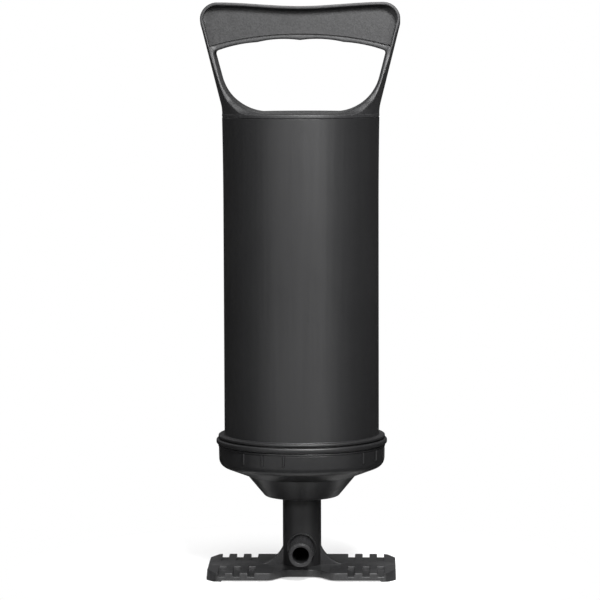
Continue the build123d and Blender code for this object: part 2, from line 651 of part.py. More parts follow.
def make_piston_body():
    """Cup with a hub for the rod, a wall between intake and delivery side, and screw bosses."""
    body = disc(piston_radius, piston_foot, floor_top)
    body = body + ring(piston_radius, piston_inner, floor_top, cover_foot)
    divider = Box(DIVIDER, 2 * piston_inner + 1, cover_foot - floor_top, align=(Align.CENTER, Align.CENTER, Align.MIN))
    body = body + Pos(0, 0, floor_top) * divider
    boss = Cylinder(SCREW_BOSS_RADIUS, cover_foot - floor_top, align=(Align.CENTER, Align.CENTER, Align.MIN))
    body = body + [place * Pos(0, 0, floor_top) * boss for place in screw_places()]
    body = body - disc(hub_radius, floor_top, cover_foot)
    hub = ring(hub_radius, rod_inner, floor_top, roof_foot) + disc(hub_radius, roof_foot, roof_top)
    hub = hub + ring(hub_radius, rod_inner, roof_top, cover_foot)
    room = Box(hub_radius + 1, 4 * hub_radius, HUB_WINDOW, align=(Align.MAX, Align.CENTER, Align.MIN))
    intake_window = Pos(-DIVIDER / 2, 0, roof_foot - HUB_WINDOW) * room
    upper = Box(hub_radius + 1, 4 * hub_radius, cover_foot - roof_top, align=(Align.MIN, Align.CENTER, Align.MIN))
    delivery_window = Pos(DIVIDER / 2, 0, roof_top) * upper
    body = body + (hub - intake_window - delivery_window)
    body = body - disc(ROD_RADIUS + FIT, piston_foot, rod_top)
    body = body - disc(rod_inner, piston_foot, roof_foot)
    body = body - disc(AIR_TUBE_RADIUS + FIT, roof_foot, roof_top)
    seal_foot = (roof_foot + roof_top - SEAL_RING_SECTION) / 2
    body = body - disc(seal_ring_outer, seal_foot, seal_foot + SEAL_RING_SECTION)
    groove_foot = piston_ring_foot() - RING_SIDE_PLAY
    groove_floor = bore_radius - RUNNING_FIT - RING_WIDTH - RING_BACK_PLAY
    body = body - ring(piston_radius + 1, groove_floor, groove_foot, groove_foot + RING_HEIGHT + 2 * RING_SIDE_PLAY)
    for x in (-valve_offset, valve_offset):
        body = body - valve_well(x, piston_foot, floor_top - SEAT_THICKNESS)
        body = body - seat_holes(x, piston_foot, floor_top)
    pilot = Cylinder(SCREW_RADIUS + FIT, cover_foot - floor_top, align=(Align.CENTER, Align.CENTER, Align.MAX))
    return body - [place * Pos(0, 0, cover_foot) * pilot for place in screw_places()]


def make_piston_cover():
    cover = disc(piston_radius, cover_foot, piston_top)
    for x in (-valve_offset, valve_offset):
        cover = cover - valve_well(x, cover_foot + SEAT_THICKNESS, piston_top)
        cover = cover - seat_holes(x, cover_foot, piston_top)
    hole = Cylinder(SCREW_RADIUS + FIT, PISTON_PLATE, align=(Align.CENTER, Align.CENTER, Align.MAX))
    sink = Cylinder(SCREW_HEAD_RADIUS + screw_head_play, SCREW_HEAD_HEIGHT + screw_head_play,
                    align=(Align.CENTER, Align.CENTER, Align.MAX))
    for place in screw_places():
        cover = cover - place * Pos(0, 0, piston_top) * hole - place * Pos(0, 0, piston_top) * sink
    return cover


def make_piston_screws():
    head_top = piston_top - screw_head_play
    head = Cylinder(SCREW_HEAD_RADIUS, SCREW_HEAD_HEIGHT, align=(Align.CENTER, Align.CENTER, Align.MAX))
    shank = Cylinder(SCREW_RADIUS, SCREW_LENGTH, align=(Align.CENTER, Align.CENTER, Align.MAX))
    slot = Box(2 * SCREW_HEAD_RADIUS, SCREW_RADIUS / 2, SCREW_HEAD_HEIGHT)
    screw = head + shank - slot
    return [place * Pos(0, 0, head_top) * screw for place in screw_places()]


def make_piston_ring():
    outer = bore_radius - RUNNING_FIT
    foot = piston_ring_foot()
    return ring(outer, outer - RING_WIDTH, foot, foot + RING_HEIGHT)


def valve():
    """Mushroom valve with its head's flat face on z = 0, its stem down through the seat."""
    bead_top = -SEAT_THICKNESS - VALVE_LIFT - VALVE_STOP_PLAY
    bead_foot = bead_top - VALVE_BEAD_HEIGHT
    profile = Polyline((0, VALVE_THICKNESS), (VALVE_RADIUS * 0.4, VALVE_THICKNESS),
                       (VALVE_RADIUS, VALVE_THICKNESS * 0.45), (VALVE_RADIUS, 0), (VALVE_STEM_RADIUS, 0),
                       (VALVE_STEM_RADIUS, bead_top), (VALVE_BEAD_RADIUS, bead_top),
                       (VALVE_STEM_RADIUS, bead_foot), (0, bead_foot), close=True)
    return turned(Plane.XZ * profile)


def make_valve(x, seat_face, points_up):
    """One valve on its seat, lying head up or head down."""
    turn = Rot(0, 0, 0) if points_up else Rot(180, 0, 0)
    return Pos(x, 0, seat_face) * turn * valve()


upper_seat = cover_foot + SEAT_THICKNESS
lower_seat = floor_top - SEAT_THICKNESS
PARTS = {
    "foot_plate": make_foot_plate(),
    "base_manifold": make_base_manifold(),
    "foot_screws": make_foot_screws(),
    "outlet_spigot": make_spigot(-1, OUTLET_TAIL),
    "intake_spigot": make_spigot(1, INTAKE_TAIL),
    "rod_tube": make_rod_tube(),
    "air_tube": make_air_tube(),
    "manifold_seal": make_seal_ring(manifold_seal),
    "piston_seal": make_seal_ring((roof_foot + roof_top - SEAL_RING_SECTION) / 2),
    "piston_body": make_piston_body(),
    "piston_cover": make_piston_cover(),
    "piston_screws": make_piston_screws(),
    "piston_ring": make_piston_ring(),
    "intake_valve_upper": make_valve(-valve_offset, upper_seat, True),
    "intake_valve_lower": make_valve(-valve_offset, lower_seat, False),
    "delivery_valve_upper": make_valve(valve_offset, cover_foot, False),
    "delivery_valve_lower": make_valve(valve_offset, floor_top, True),
    "barrel_tube": make_barrel_tube(),
    "end_cap": make_end_cap(),
    "cap_gasket": make_cap_gasket(),
    "rod_bush": make_rod_bush(),
    "rod_seal": make_rod_seal(),
    "seal_retainer": make_seal_retainer(),
    "bottom_bumper": make_bottom_bumper(),
    "handle": make_handle(),
    "top_bumper": make_top_bumper(),
}

for name, shape in PARTS.items():
    solids = shape if isinstance(shape, list) else [shape]
    export_step(Compound(children=solids), f"parts/{name}.step")

print(f"stroke {STROKE:.1f} mm, valve lift {VALVE_LIFT} mm")
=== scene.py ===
import json
import math

import bmesh
import bpy
import numpy as np
from mathutils import Matrix, Vector


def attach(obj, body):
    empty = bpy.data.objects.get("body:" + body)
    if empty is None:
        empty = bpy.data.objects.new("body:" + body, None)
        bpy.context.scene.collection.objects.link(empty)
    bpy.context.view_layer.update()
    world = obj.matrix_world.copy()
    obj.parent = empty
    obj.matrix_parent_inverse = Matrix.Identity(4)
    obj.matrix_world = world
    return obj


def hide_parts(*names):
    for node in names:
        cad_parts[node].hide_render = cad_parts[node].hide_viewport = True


# Looks for the double action hand pump: pieces are worked out in millimetres in the frame of
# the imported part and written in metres.

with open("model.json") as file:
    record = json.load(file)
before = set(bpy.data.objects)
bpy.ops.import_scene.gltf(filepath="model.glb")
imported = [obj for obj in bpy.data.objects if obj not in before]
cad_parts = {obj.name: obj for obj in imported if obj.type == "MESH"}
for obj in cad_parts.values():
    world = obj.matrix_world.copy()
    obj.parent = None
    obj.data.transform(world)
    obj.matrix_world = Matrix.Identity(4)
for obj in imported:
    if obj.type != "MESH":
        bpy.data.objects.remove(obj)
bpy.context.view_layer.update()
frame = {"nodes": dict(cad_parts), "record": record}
nodes = frame["nodes"]
mm = 0.001
weldGap = 3e-6               # points of a piece nearer than this, in metres, are made one
flatGap = 1e-6               # edges shorter than this, in metres, are taken out
roundSteps = 288             # points round the pump's axis
print("frame loaded:", len(nodes), "nodes")


class Soc:
    # wraps a socket, so that shader maths reads as plain expressions

    def __init__(self, tree, socket):
        self.tree = tree
        self.socket = socket

    def node(self, kind, settings=None, out=0, **inputs):
        # adds a node: its settings first, then its sockets by label, or by number where that is i0, i1
        made = self.tree.nodes.new(kind)
        for name, value in (settings or {}).items():
            setattr(made, name, value)
        for name, value in inputs.items():
            self.feed(made.inputs[int(name[1:]) if name[1:].isdigit() else name], value)
        return Soc(self.tree, made.outputs[out])

    def feed(self, target, value):
        # a wrapped socket is linked to the target, a plain value becomes its value
        if isinstance(value, Soc):
            self.tree.links.new(value.socket, target)
        else:
            target.default_value = value

    def maths(self, operation, *values):
        # one maths node with the values on its sockets in turn
        names = {f"i{number}": value for number, value in enumerate(values)}
        return self.node("ShaderNodeMath", {"operation": operation}, **names)

    def __add__(self, other):
        return self.maths("ADD", self, other)

    def __radd__(self, other):
        return self.maths("ADD", other, self)

    def __sub__(self, other):
        return self.maths("SUBTRACT", self, other)

    def __rsub__(self, other):
        return self.maths("SUBTRACT", other, self)

    def __mul__(self, other):
        return self.maths("MULTIPLY", self, other)

    def __rmul__(self, other):
        return self.maths("MULTIPLY", other, self)

    def clamp(self, low, high):
        # the smaller of high and the larger of low and the value
        return self.maths("MINIMUM", self.maths("MAXIMUM", self, low), high)


def newMaterial(name):
    # a Principled shader on the output; gives the material, its object coordinates and the shader
    material = bpy.data.materials.new(name)
    material.use_nodes = True
    tree = material.node_tree
    tree.nodes.clear()
    output = tree.nodes.new("ShaderNodeOutputMaterial")
    shader = tree.nodes.new("ShaderNodeBsdfPrincipled")
    tree.links.new(shader.outputs[0], output.inputs[0])
    place = tree.nodes.new("ShaderNodeTexCoord")
    return material, Soc(tree, place.outputs["Object"]), shader


def mouldedPlastic(name, look):
    # tone = slow drift + fine grain + marks drawn out along one axis + rubbed patches, and mixes the two
    # colours; roughness = base + drift + drawn marks - rubbed patches; height = grain + marks + drift
    material, place, shader = newMaterial(name)
    grain = place.node("ShaderNodeTexNoise", Vector=place, Scale=look["grainScale"], Detail=2.0, Roughness=0.6)
    drift = place.node("ShaderNodeTexNoise", Vector=place, Scale=look["driftScale"], Detail=3.0, Roughness=0.5)
    rub = place.node("ShaderNodeTexNoise", Vector=place, Scale=look["rubScale"], Detail=6.0, Roughness=0.7)
    drawn = place.node("ShaderNodeVectorMath", {"operation": "MULTIPLY"}, i0=place, i1=look["drawn"])
    marks = place.node("ShaderNodeTexNoise", Vector=drawn, Scale=1.0, Detail=4.0, Roughness=0.65)
    rubMask = ((rub - look["rubLevel"]) * look["rubSlope"]).clamp(0.0, 1.0)
    tone = ((drift - 0.5) * look["toneDrift"] + (grain - 0.5) * look["toneGrain"]
            + (marks - 0.5) * look["toneMarks"] + rubMask * look["toneRub"])
    low, high = look["colour"]
    mix = place.node("ShaderNodeMix", {"data_type": "RGBA"}, out=2,
                     i0=(tone + 0.5).clamp(0.0, 1.0), i6=(*low, 1.0), i7=(*high, 1.0))
    place.feed(shader.inputs["Base Color"], mix)
    rough = (look["rough"] + (drift - 0.5) * look["roughDrift"] + (marks - 0.5) * look["roughMarks"]
             - rubMask * look["roughRub"])
    place.feed(shader.inputs["Roughness"], rough.clamp(0.05, 1.0))
    shader.inputs["Specular IOR Level"].default_value = look["specular"]
    height = grain + marks * look["marksHeight"] + drift * look["swell"]
    bump = place.node("ShaderNodeBump", Strength=look["bump"], Distance=look["grainDepth"], Height=height)
    place.feed(shader.inputs["Normal"], bump)
    return material


def platedSteel(name, look):
    # bright zinc: colour runs from low to high with a cloud; roughness = base + cloud + fine specks,
    # and the specks are its height
    material, place, shader = newMaterial(name)
    cloud = place.node("ShaderNodeTexNoise", Vector=place, Scale=look["cloudScale"], Detail=4.0, Roughness=0.6)
    specks = place.node("ShaderNodeTexNoise", Vector=place, Scale=look["speckScale"], Detail=2.0, Roughness=0.5)
    low, high = look["colour"]
    mix = place.node("ShaderNodeMix", {"data_type": "RGBA"}, out=2, i0=cloud, i6=(*low, 1.0), i7=(*high, 1.0))
    place.feed(shader.inputs["Base Color"], mix)
    rough = look["rough"] + (cloud - 0.5) * look["roughCloud"] + (specks - 0.5) * look["roughSpecks"]
    place.feed(shader.inputs["Roughness"], rough.clamp(0.05, 1.0))
    shader.inputs["Metallic"].default_value = 1.0
    bump = place.node("ShaderNodeBump", Strength=look["bump"], Distance=look["speckDepth"], Height=specks)
    place.feed(shader.inputs["Normal"], bump)
    return material


satinLook = {
    "colour": ((0.006, 0.006, 0.0065), (0.014, 0.014, 0.0145)), "specular": 0.5,
    "rough": 0.43, "roughDrift": 0.06, "roughRub": 0.05, "roughMarks": 0.08,
    "grainScale": 2600.0, "grainDepth": 0.0001, "driftScale": 14.0, "rubScale": 60.0,
    "rubLevel": 0.58, "rubSlope": 8.0,           # noise above the level is rubbed, with this steepness
    "drawn": (520.0, 520.0, 9.0),                # scale of the drawn marks along x, y and z
    "toneDrift": 0.5, "toneGrain": 0.5, "toneMarks": 0.5, "toneRub": 0.2,
    "bump": 0.3, "marksHeight": 0.35, "swell": 0.6,
}
slotLooks = {
    "barrel_plastic": dict(satinLook),
    "cap_plastic": dict(satinLook, rough=0.40, drawn=(300.0, 300.0, 40.0), toneRub=0.3),
    "handle_plastic": dict(satinLook, colour=((0.007, 0.007, 0.0075), (0.026, 0.026, 0.027)), rough=0.50,
                           specular=0.38, grainScale=1100.0, toneGrain=2.4, bump=0.45,
                           drawn=(120.0, 120.0, 90.0), toneRub=0.35, roughRub=0.08),
    "foot_plastic": dict(satinLook, colour=((0.008, 0.008, 0.0085), (0.026, 0.026, 0.027)), rough=0.44,
                         grainScale=1100.0, toneGrain=1.8, bump=0.5, drawn=(90.0, 160.0, 90.0),
                         toneRub=0.5, roughRub=0.10),
    "rod_plastic": dict(satinLook, rough=0.42, drawn=(900.0, 900.0, 5.0), toneMarks=0.8,
                        marksHeight=0.6, bump=0.25),
    "inner_plastic": dict(satinLook, colour=((0.045, 0.045, 0.048), (0.075, 0.075, 0.079)), rough=0.40,
                          toneRub=0.1),
    "seal_rubber": dict(satinLook, colour=((0.012, 0.012, 0.012), (0.026, 0.026, 0.026)), rough=0.62,
                        grainScale=1800.0, specular=0.4, bump=0.35, drawn=(200.0, 200.0, 200.0)),
    "valve_rubber": dict(satinLook, colour=((0.038, 0.038, 0.040), (0.062, 0.062, 0.065)), rough=0.46,
                         grainScale=900.0, bump=0.2, drawn=(150.0, 150.0, 150.0)),
}
steelLook = {"colour": ((0.42, 0.42, 0.44), (0.62, 0.62, 0.60)), "rough": 0.34, "roughCloud": 0.16,
             "roughSpecks": 0.2, "cloudScale": 220.0, "speckScale": 3200.0, "speckDepth": 0.0001, "bump": 0.2}

finish = {name: mouldedPlastic(name, look) for name, look in slotLooks.items()}
finish["screw_steel"] = platedSteel("screw_steel", steelLook)
finish["port_plastic"] = mouldedPlastic("port_plastic", dict(slotLooks["foot_plastic"], rough=0.34, toneRub=0.8))
for row in frame["record"]["subparts"]:
    node = nodes[row["node"]]
    node.data.materials.clear()
    node.data.materials.append(finish[row["material_slot"]])
print("materials made:", len(finish))


def roundedLine(corners, radii, steps=7):
    # closed outline whose corners are arcs that touch both their runs; radius 0 keeps the corner
    corners = np.asarray(corners, float)
    parts = []
    for number, radius in enumerate(radii):
        corner = corners[number]
        if radius <= 0:
            parts.append(corner[None])
            continue
        before = corners[number - 1] - corner
        after = corners[(number + 1) % len(corners)] - corner
        before, after = before / np.linalg.norm(before), after / np.linalg.norm(after)
        half = np.arccos(np.clip(before @ after, -1, 1)) / 2
        middle = (before + after) / np.linalg.norm(before + after)
        centre = corner + middle * radius / math.sin(half)
        arm = corner + before * radius / math.tan(half) - centre
        side = np.sign(arm[0] * (-middle[1]) - arm[1] * (-middle[0]))
        angle = side * np.linspace(0, math.pi - 2 * half, steps)
        parts.append(centre + np.stack([arm[0] * np.cos(angle) - arm[1] * np.sin(angle),
                                        arm[0] * np.sin(angle) + arm[1] * np.cos(angle)], axis=1))
    return np.concatenate(parts)


def smoothCurve(points, steps=12):
    # Catmull-Rom curve through the points: each span is a cubic set by its four nearest points
    points = np.asarray(points, float)
    ends = np.concatenate([[2 * points[0] - points[1]], points, [2 * points[-1] - points[-2]]])
    share = np.linspace(0, 1, steps, endpoint=False)[:, None]
    spans = []
    for a, b, c, d in zip(ends[:-3], ends[1:-2], ends[2:-1], ends[3:]):
        spans.append(0.5 * (2 * b + (c - a) * share + (2 * a - 5 * b + 4 * c - d) * share ** 2
                            + (3 * b - a - 3 * c + d) * share ** 3))
    return np.concatenate(spans + [points[-1:]])


def stretch(line, start, end, rows):
    # evenly spaced points along a line between the places nearest to start and end
    length = np.concatenate([[0], np.cumsum(np.linalg.norm(np.diff(line, axis=0), axis=1))])
    first = length[np.argmin(np.linalg.norm(line - np.asarray(start, float), axis=1))]
    last = length[np.argmin(np.linalg.norm(line - np.asarray(end, float), axis=1))]
    at = np.linspace(first, last, rows)
    return np.stack([np.interp(at, length, line[:, 0]), np.interp(at, length, line[:, 1])], axis=1)


def closeEnds(grid):
    # adds a first and a last loop, in which every point is the middle of the loop next to it
    first = grid[:1].mean(axis=1, keepdims=True) + 0 * grid[:1]
    last = grid[-1:].mean(axis=1, keepdims=True) + 0 * grid[-1:]
    return np.concatenate([first, grid, last])


def lathe(profile, count):
    # closed profile of (radius, height) carried round the pump's axis: x = r sin a, y = -r cos a
    profile = np.concatenate([profile, profile[:1]])
    angle = np.linspace(0, 2 * math.pi, count, endpoint=False)
    radius, height = profile[:, :1], profile[:, 1:]
    return np.stack([radius * np.sin(angle), -radius * np.cos(angle), height + 0 * angle], axis=2)


def makePiece(name, grids, material, replaced, body, sharp=32.0):
    # joins grids of points (rows by columns, each row a closed loop) into one mesh: each face joins two
    # neighbours of a row with the same two of the next row, and points that fall together are merged
    places, faces, count = [], [], 0
    for grid in grids:
        rows, columns = grid.shape[:2]
        index = np.arange(rows * columns).reshape(rows, columns) + count
        ahead = np.roll(index, -1, axis=1)
        faces.append(np.stack([index[:-1], ahead[:-1], ahead[1:], index[1:]], axis=2).reshape(-1, 4))
        places.append(grid.reshape(-1, 3))
        count += rows * columns
    mesh = bpy.data.meshes.new(name)
    mesh.from_pydata(np.concatenate(places) * mm, [], np.concatenate(faces).tolist())
    merged = bmesh.new()
    merged.from_mesh(mesh)
    bmesh.ops.remove_doubles(merged, verts=merged.verts, dist=weldGap)
    bmesh.ops.dissolve_degenerate(merged, dist=flatGap, edges=merged.edges)
    bmesh.ops.recalc_face_normals(merged, faces=merged.faces)
    merged.to_mesh(mesh)
    merged.free()
    mesh.shade_smooth()
    mesh.set_sharp_from_angle(angle=math.radians(sharp))
    mesh.materials.append(material)
    piece = bpy.data.objects.new(name, mesh)
    bpy.context.collection.objects.link(piece)
    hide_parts(*replaced)
    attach(piece, body)
    print(name, "made:", len(mesh.vertices), "points")


# barrel: tube with a bead and a lip round its lower end, flaring a little towards the saddle

barrelLook = {"radius": 50.15, "bore": 47.65, "end": 77.0, "top": 296.55,
              "flare": 0.55, "flareLength": 62.0, "straightStep": 5.0,
              "flange": 85.0, "endSink": 0.05,                     # below the flange it is this much thinner
              "beadStand": 5.3, "beadHeight": 3.4, "groove": 0.9, "neckSink": 1.5,
              "lipStand": 3.95, "lipHeight": 1.7, "edge": 0.35,
              "bends": (0, 0, 0, 1.3, 1.1, 0.2, 0.2, 0.3, 0.7, 0.5, 0)}     # radius at each corner


def barrelProfile(look):
    # wall section; the flare is an arc that grows with the square of the distance from its start
    radius, top, flange = look["radius"], look["top"], look["flange"]
    beadTop = flange + look["beadHeight"]
    lipFoot = beadTop + look["groove"]
    lipTop = lipFoot + look["lipHeight"]
    low = radius - look["endSink"]
    bead, lip = radius + look["beadStand"], radius + look["lipStand"]
    neck = lip - look["neckSink"]
    corners = [(look["bore"], look["end"]), (low, look["end"]), (low, flange), (bead, flange), (bead, beadTop),
               (neck, beadTop), (neck, lipFoot), (lip, lipFoot), (lip, lipTop), (radius, lipTop),
               (radius, top - look["flareLength"] - look["straightStep"])]
    rise = np.linspace(0, 1, 14)
    side = np.stack([radius + look["flare"] * rise ** 2,
                     top - look["edge"] - look["flareLength"] * (1 - rise)], axis=1)
    rim = np.array([(radius + look["flare"] - look["edge"], top), (look["bore"], top)])
    return np.concatenate([roundedLine(corners, look["bends"]), side, rim])


makePiece("barrelTube", [lathe(barrelProfile(barrelLook), roundSteps)], finish["barrel_plastic"],
          ["barrel_tube"], "barrel")

# end cap: skirt, rounded shoulder, hollow cone and nose, with four groups of grip ribs

capLook = {"radius": 54.25, "mouth": 50.5, "top": 84.7, "foot": 50.4, "hole": 12.9,
           "nose": 23.8, "crease": 35.3, "creaseHeight": 13.8, "shoulderHeight": 20.9,
           "taper": 0.6, "taperRun": 12.0, "wall": 2.3,
           "throat": 47.05, "hollow": 39.2, "hub": 18.05, "pocket": 15.05,            # radii of the inside
           "mouthFoot": 75.7, "throatFoot": 72.0, "hollowFoot": 68.9, "coneTop": 66.5, "hubTop": 66.4,
           "pocketFoot": 52.8,                                   # heights of its steps
           "bends": (0.5, 3.0, 2.0, 6.0, 0.1, 0.1, 0.3, 0.5, 0.3),          # radius at each outer corner
           "ribTurn": -26.5, "ribPitch": 15.4, "ribGroups": 4, "ribs": 3,
           "ribWidth": 1.5, "ribHeight": 7.3, "ribStand": 1.0, "ribRim": 1.3, "ribSquare": 0.7,
           "rimDrop": 0.35, "rimGap": 0.45, "rimSink": 0.35, "rimStep": 0.1}


def capProfile(look):
    # outer skin from the nose to the skirt, then the stepped inside down to the rod's hole
    foot, top, wall, radius = look["foot"], look["top"], look["wall"], look["radius"]
    skirt, rim = radius - look["rimDrop"], top - look["ribRim"]
    corners = [(look["hole"], foot), (look["nose"], foot), (look["crease"], foot + look["creaseHeight"]),
               (radius - look["taper"], foot + look["shoulderHeight"]), (skirt, rim - look["rimGap"]),
               (skirt - look["rimSink"], rim), (radius, rim + look["rimStep"]), (radius, top),
               (look["mouth"], top), (look["mouth"], look["mouthFoot"]), (look["throat"], look["mouthFoot"]),
               (look["throat"], look["throatFoot"]), (look["hollow"], look["throatFoot"]),
               (look["hollow"], look["hollowFoot"]), (look["crease"] - wall, look["coneTop"]),
               (look["nose"] - wall, foot + wall), (look["hub"], foot + wall), (look["hub"], look["hubTop"]),
               (look["pocket"], look["hubTop"]), (look["pocket"], look["pocketFoot"]),
               (look["hole"], look["pocketFoot"])]
    radii = look["bends"] + (0,) * (len(corners) - len(look["bends"]))
    return roundedLine(corners, radii, steps=9)


def gripRib(look, turn):
    # upright bar of squarish section: over its round lower end, up = 0 to 1, width and stand grow as
    # a circle's arc; over the rest, up = 1 to 10, they stay, and shrink a little near the rim
    across = np.linspace(0, 2 * math.pi, 20, endpoint=False)
    up = np.concatenate([1 - np.cos(np.linspace(0, math.pi / 2, 8)), np.linspace(1.4, 8.4, 4),
                         [9.4, 9.8, 9.95, 10.0]])
    half, high = look["ribWidth"] / 2, look["ribHeight"]
    height = np.where(up < 1, up * half, half + (up - 1) / 9 * (high - half))
    lower = np.sqrt(np.clip(1 - (1 - np.minimum(up, 1)) ** 2, 0, 1))
    share = lower * np.sqrt(np.clip(1 - np.clip(up - 9.2, 0, 0.8) ** 2 * 1.5, 0, 1))
    share[0], share[-1] = 0, 0
    side = np.sign(np.cos(across)) * np.abs(np.cos(across)) ** look["ribSquare"]
    out = np.sign(np.sin(across)) * np.abs(np.sin(across)) ** look["ribSquare"]
    x = share[:, None] * half * side
    lean = (look["taper"] - look["rimDrop"]) * (high - height) / look["taperRun"]
    skin = look["radius"] - look["rimDrop"] - lean
    y = -(skin[:, None] + share[:, None] * look["ribStand"] * out)
    z = (look["top"] - look["ribRim"] - high + height)[:, None] + 0 * x
    turn = math.radians(turn)
    return np.stack([x * math.cos(turn) - y * math.sin(turn), x * math.sin(turn) + y * math.cos(turn), z], axis=2)


ribTurns = [capLook["ribTurn"] + group * 360 / capLook["ribGroups"] + (rib - 1) * capLook["ribPitch"]
            for group in range(capLook["ribGroups"]) for rib in range(capLook["ribs"])]
capGrids = [lathe(capProfile(capLook), roundSteps)] + [gripRib(capLook, turn) for turn in ribTurns]
makePiece("endCap", capGrids, finish["cap_plastic"], ["end_cap"], "barrel")

# ports: collar with a ring groove, a run of crossed ridges and a stepped nose, turned about a line along Y

portLook = {"height": 18.0, "radius": 7.6, "bore": 5.35, "reach": 42.0, "collar": 9.5, "collarFace": 14.3,
            "groove": 2.6, "lip": 0.45, "tail": 6.6, "root": 7.2, "rootStep": 0.1,
            "collarBends": (0, 0, 0, 0, 0.3, 0.25, 0.15, 0.3), "noseBends": (0, 0.3, 0.1, 0.25, 0.3, 0),
            "threadPitch": 3.2, "threadStarts": 11, "threadDepth": 0.7, "threadEnd": 39.8,
            "threadGap": 0.35, "fadeIn": 1.0, "fadeOut": 0.8, "flank": 2.2, "crest": 0.3,
            "noseRing": 0.75, "noseStep": 0.5, "rows": 170, "columns": 208}


def portGrid(look, direction):
    # section carried round a line along Y; on the knurled run the radius sinks between the
    # ridges of two sets of helices of opposite hand
    face, radius, collar = look["collarFace"], look["radius"], look["collar"]
    seat = face - look["groove"]
    inset, step = collar - look["lip"], look["rootStep"]
    collarLine = roundedLine([(look["bore"], look["tail"]), (radius, look["tail"]), (radius, look["root"]),
                              (collar, look["root"]), (collar, face), (inset, face), (inset, seat),
                              (radius + step, seat)], look["collarBends"], steps=5)
    run = np.linspace(seat + look["threadGap"], look["threadEnd"], look["rows"])
    threadLine = np.stack([radius + 0 * run, run], axis=1)
    ring, shoulder = radius - look["noseRing"], look["reach"] - look["noseStep"]
    end = roundedLine([(radius, look["threadEnd"] + step), (radius, shoulder), (ring, shoulder),
                       (ring, look["reach"]), (look["bore"], look["reach"]), (look["bore"], look["tail"])],
                      look["noseBends"], steps=6)
    line = np.concatenate([collarLine, threadLine, end])
    angle = np.linspace(0, 2 * math.pi, look["columns"], endpoint=False)
    along, out = line[:, 1:], line[:, :1] + 0 * angle
    ramp = (np.clip((along - face) / look["fadeIn"], 0, 1)
            * np.clip((look["threadEnd"] - along) / look["fadeOut"], 0, 1))
    threaded = np.zeros(len(line))
    threaded[len(collarLine):len(collarLine) + len(threadLine)] = 1
    turns = look["threadStarts"] * angle / (2 * math.pi)
    hands = [np.abs((along / look["threadPitch"] + hand * turns) % 1.0 - 0.5) * 2 for hand in (-1, 1)]
    ridge = np.clip(np.minimum(*hands) * look["flank"] - look["crest"], 0, 1)
    out = out - threaded[:, None] * ramp * look["threadDepth"] * ridge
    x = out * np.sin(angle)
    z = look["height"] + out * np.cos(angle)
    return np.stack([x * direction, along * direction + 0 * angle, z], axis=2)


for name, spigot, look, direction in (("outletPort", "outlet_spigot", portLook, -1),
                                      ("intakePort", "intake_spigot", dict(portLook, tail=9.2), 1)):
    makePiece(name, [portGrid(look, direction)], finish["port_plastic"], [spigot], "foot")

# foot: plate with a waist, grooved treads, end pads and two hollow gussets against the rod

footLook = {"length": 121.8, "depth": 74.0, "top": 5.5, "arch": 0.8, "archRun": 0.8, "pad": 9.5,
            "waistSetback": 13.0, "waistHalf": 11.0, "waistSlope": 8.5,
            "frontCorner": (6.5, 15.0), "frontCornerLow": (4.9, 6.5), "backCorner": (5.8, 13.5),
            "frontBends": (0, 8.0, 6.0, 3.0, 3.0, 0), "backBends": (0, 4.5, 3.0, 0),
            "grooves": 3, "grooveWidth": 4.5, "groovePitch": 9.55, "grooveDepth": 2.3, "grooveMargin": 9.7,
            "grooveSoft": 0.35, "ridgeHalf": 11.0, "frontTread": 2.6, "rearTread": 1.4,
            "crease": -3.0, "creaseRise": 0.25, "edge": 0.5, "lowEdge": 0.3, "frontBevel": 0.4, "endHeight": 2.0,
            "gussetThick": 6.5, "gussetHigh": 13.0, "gussetReach": 13.6, "gussetHollow": 0.52,
            "gussetEdge": 0.3, "gussetLap": 0.6, "gussetSink": 1.0, "rodRadius": 12.5}


def footEdges(look, x):
    # front and rear edge of the plate over x, read off its rounded plan
    end, back = look["length"] / 2, look["depth"] / 2
    waist, slope = look["waistHalf"], look["waistSlope"]
    cut, run = look["frontCorner"]
    front = roundedLine([(-1, -back + look["waistSetback"]), (waist, -back + look["waistSetback"]),
                         (waist + slope, -back), (end - cut, -back), (end, -back + run), (end, back)],
                        look["frontBends"], steps=12)[:-1]
    cut, run = look["backCorner"]
    rear = roundedLine([(-1, back), (end - cut, back), (end, back - run), (end, -back)],
                       look["backBends"], steps=12)[:-1]
    return np.interp(np.abs(x), front[:, 0], front[:, 1]), np.interp(np.abs(x), rear[:, 0], rear[:, 1])


